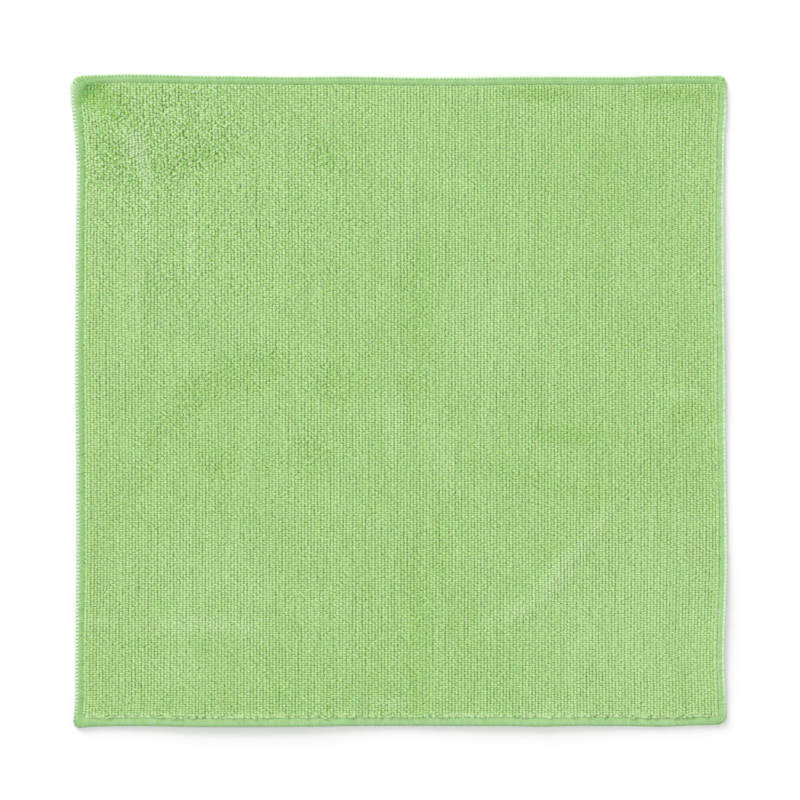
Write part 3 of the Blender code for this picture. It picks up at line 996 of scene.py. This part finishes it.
def noise(tree, scale, roughness=0.5):
    spot = add_node(tree, "ShaderNodeTexCoord").outputs["Object"]
    inputs = {"Vector": spot, "Scale": scale, "Detail": 2.0, "Roughness": roughness}
    return add_node(tree, "ShaderNodeTexNoise", inputs).outputs[0]


def attribute(tree, label):
    return add_node(tree, "ShaderNodeAttribute", attribute_name=label).outputs["Fac"]


def plain_surface(name):
    """A new material, with its node tree and its shader's inputs."""
    material = bpy.data.materials.new(name)
    material.use_nodes = True
    return material, material.node_tree, material.node_tree.nodes["Principled BSDF"].inputs


def fibre_group():
    """Uneven fibre colour: deep at the foot, partly painted shade, pale at the tip, with fine strands and
    slow drifts of hue.
    """
    tree = bpy.data.node_groups.new("fibre", "ShaderNodeTree")
    for label, kind, value in (
        ("Deep", "NodeSocketColor", PILE.deep),
        ("Middle", "NodeSocketColor", PILE.middle),
        ("Pale", "NodeSocketColor", PILE.pale),
        ("Level", "NodeSocketFloat", 0.5),
        ("Tone", "NodeSocketFloat", 0.0),
        ("Strand Scale", "NodeSocketFloat", 4000.0),
        ("Strand Amount", "NodeSocketFloat", 0.12),
        ("Drift Amount", "NodeSocketFloat", 0.06),
    ):
        socket = tree.interface.new_socket(label, in_out="INPUT", socket_type=kind)
        socket.default_value = value
    tree.interface.new_socket("Color", in_out="OUTPUT", socket_type="NodeSocketColor")
    tree.interface.new_socket("Strands", in_out="OUTPUT", socket_type="NodeSocketFloat")
    size = tree.nodes.new("NodeGroupInput").outputs
    end = tree.nodes.new("NodeGroupOutput")
    add, subtract, multiply = sums(tree, "ADD", "SUBTRACT", "MULTIPLY")
    least, most = sums(tree, "MINIMUM", "MAXIMUM")
    strands = noise(tree, size["Strand Scale"], STRAND_ROUGHNESS)
    drift = noise(tree, HUE_PATCHES)
    spread = multiply(subtract(strands, 0.5), multiply(size["Strand Amount"], 2.0))
    level = add(add(size["Level"], size["Tone"]), spread)
    colour = size["Deep"]
    for low, high, paler in ((0.0, 0.5, size["Middle"]), (0.5, 1.0, size["Pale"])):
        share = add_node(tree, "ShaderNodeMapRange", {"Value": level, "From Min": low, "From Max": high})
        mixed = {0: share.outputs[0], 6: colour, 7: paler}
        colour = add_node(tree, "ShaderNodeMix", mixed, data_type="RGBA").outputs[2]
    # Below the deepest level it gets darker, and where the pile is pressed flat greyer and less yellow:
    # painted shade of the darkest patches
    flat = most(subtract(PRESSED_TONE, size["Tone"]), 0.0)
    drifted = add(0.5, multiply(subtract(drift, 0.5), size["Drift Amount"]))
    shift = {
        "Hue": add(drifted, multiply(flat, PRESSED_HUE)),
        "Saturation": subtract(1.0, multiply(flat, PRESSED_GREY)),
        "Value": add(1.0, multiply(least(level, 0.0), DARKENING)),
        "Color": colour,
    }
    shifted = add_node(tree, "ShaderNodeHueSaturation", shift).outputs[0]
    tree.links.new(shifted, end.inputs["Color"])
    tree.links.new(strands, end.inputs["Strands"])
    return tree


def fabric_material(fibre, fabric, level, tone, height=None):
    """A cloth surface: fibre colour by its level and tone, a soft sheen and the relief of its strands."""
    material, tree, surface = plain_surface(fabric.name)
    surface["Roughness"].default_value = 0.95
    surface["Sheen Weight"].default_value = 0.15
    surface["Sheen Roughness"].default_value = 0.5
    surface["Specular IOR Level"].default_value = 0.2
    inputs = dict(zip(("Deep", "Middle", "Pale", "Strand Scale", "Strand Amount"), fabric[1:]))
    inputs |= {"Level": level(tree), "Tone": tone(tree)}
    group = add_node(tree, "ShaderNodeGroup", inputs, node_tree=fibre)
    tree.links.new(group.outputs["Color"], surface["Base Color"])
    raised = group.outputs["Strands"]
    if height:
        raised = maths(tree, "ADD", raised, height(tree))
    relief_inputs = {"Strength": fabric.bump, "Distance": 0.2 * MM, "Height": raised}
    tree.links.new(add_node(tree, "ShaderNodeBump", relief_inputs).outputs[0], surface["Normal"])
    return material


def pile_material(fibre):
    def level(tree):
        add, multiply = sums(tree, "ADD", "MULTIPLY")
        # Deep at the foot, pale at the tip: painted shade down the loop, with the fibre's own deeper colour
        return add(FOOT_LEVEL, multiply(attribute(tree, "tip"), 1 - FOOT_LEVEL))

    return fabric_material(fibre, PILE, level, partial(attribute, label="tone"))


def ground_material(fibre):
    def level(tree):
        subtract, multiply = sums(tree, "SUBTRACT", "MULTIPLY")
        field = subtract(attribute(tree, "field"), 0.5)
        return subtract(multiply(noise(tree, GROUND_PATCHES), GROUND_UNEVEN), multiply(field, GROUND_DEPTH))

    return fabric_material(fibre, GROUND, level, partial(attribute, label="tone"))


def thread_material(fibre):
    def tone(tree):
        add, subtract, multiply, most = sums(tree, "ADD", "SUBTRACT", "MULTIPLY", "MAXIMUM")
        # The pile's dark patches, partly painted shade, darken the threads towards the needle line
        pressed = multiply(attribute(tree, "pressed"), attribute(tree, "inner"))
        uneven = multiply(attribute(tree, "tone"), THREAD_UNEVEN)
        # The painted rim light, which dulls towards the corners
        glow = most(subtract(attribute(tree, "level"), BAND_LEVEL), 0.0)
        dulled = multiply(multiply(glow, attribute(tree, "dull")), THREAD_DULLING)
        return subtract(add(multiply(pressed, THREAD_PRESSED), uneven), dulled)

    def height(tree):
        multiply, sine = sums(tree, "MULTIPLY", "SINE")
        return sine(multiply(attribute(tree, "strands"), 2 * math.pi))

    return fabric_material(fibre, THREAD, partial(attribute, label="level"), tone, height)


# --- Floor, light and camera ---

PICTURE_WIDTH = 800
PIXEL = 0.6154 * MM  # what one of its pixels spans on the cloth
PICTURE_LEVEL = 1.5 * MM  # height at which it spans that
VIEW_MIDDLE = (0.35 * MM, 0.42 * MM)  # the picture's middle, from the cloth's
CAMERA_HEIGHT = 2.0
SENSOR = 36.0
FLOOR_REACH = 6.0
FLOOR_LEVEL = -0.1 * MM
LAMPS = table(
    "name place size power",
    ("key", (-5.1, 8.3, 4.2), 5.2, 785.0),
    ("overhead", (0.1, -0.1, 2.6), 1.6, 15.0),
)


def add_camera():
    data = bpy.data.cameras.new("camera")
    data.sensor_width = SENSOR
    data.lens = SENSOR * (CAMERA_HEIGHT - PICTURE_LEVEL) / (PICTURE_WIDTH * PIXEL)
    data.clip_start = 0.1
    data.clip_end = 20
    camera = link("camera", data)
    camera.location = (*VIEW_MIDDLE, CAMERA_HEIGHT)
    bpy.context.scene.camera = camera


def add_lamp(lamp):
    """A round lamp that shines at the middle of the cloth."""
    data = bpy.data.lights.new(lamp.name, "AREA")
    data.shape = "DISK"
    data.size = lamp.size
    data.energy = lamp.power
    light = link(lamp.name, data)
    light.location = lamp.place
    light.rotation_mode = "QUATERNION"
    light.rotation_quaternion = (-Vector(lamp.place)).to_track_quat("-Z", "Y")


def add_floor():
    data = bpy.data.meshes.new("floor")
    corners = [(x * FLOOR_REACH, y * FLOOR_REACH, FLOOR_LEVEL) for x, y in (SW, SE, NE, NW)]
    data.from_pydata(corners, [], [(0, 1, 2, 3)])
    material, _, surface = plain_surface("floor")
    surface["Base Color"].default_value = FLOOR_WHITE
    surface["Roughness"].default_value = 1.0
    surface["Specular IOR Level"].default_value = 0.0
    data.materials.append(material)
    floor = link("floor", data)


def add_light():
    world = bpy.data.worlds.new("studio")
    bpy.context.scene.world = world
    world.use_nodes = True
    background = world.node_tree.nodes["Background"]
    background.inputs["Color"].default_value = (1.0, 1.0, 1.0, 1.0)
    background.inputs["Strength"].default_value = 0.610
    for lamp in LAMPS:
        add_lamp(lamp)
    bpy.context.scene.view_settings.view_transform = "Standard"


# --- The whole cloth ---

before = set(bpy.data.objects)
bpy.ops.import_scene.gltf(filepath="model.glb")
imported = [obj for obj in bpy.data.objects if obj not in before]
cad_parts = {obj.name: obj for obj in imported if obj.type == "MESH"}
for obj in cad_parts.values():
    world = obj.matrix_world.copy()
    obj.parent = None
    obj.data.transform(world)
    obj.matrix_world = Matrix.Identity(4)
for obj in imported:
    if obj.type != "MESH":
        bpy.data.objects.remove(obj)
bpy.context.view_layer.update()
add_camera()
add_floor()
add_light()

fibre = fibre_group()
cloth = ground_cloth()
cloth.data.materials.append(ground_material(fibre))
pile = make_pile(pile_material(fibre))
overlock = make_overlock(thread_material(fibre))

for piece in [cloth] + pile + overlock:
    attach(piece, "root")
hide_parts("cloth")
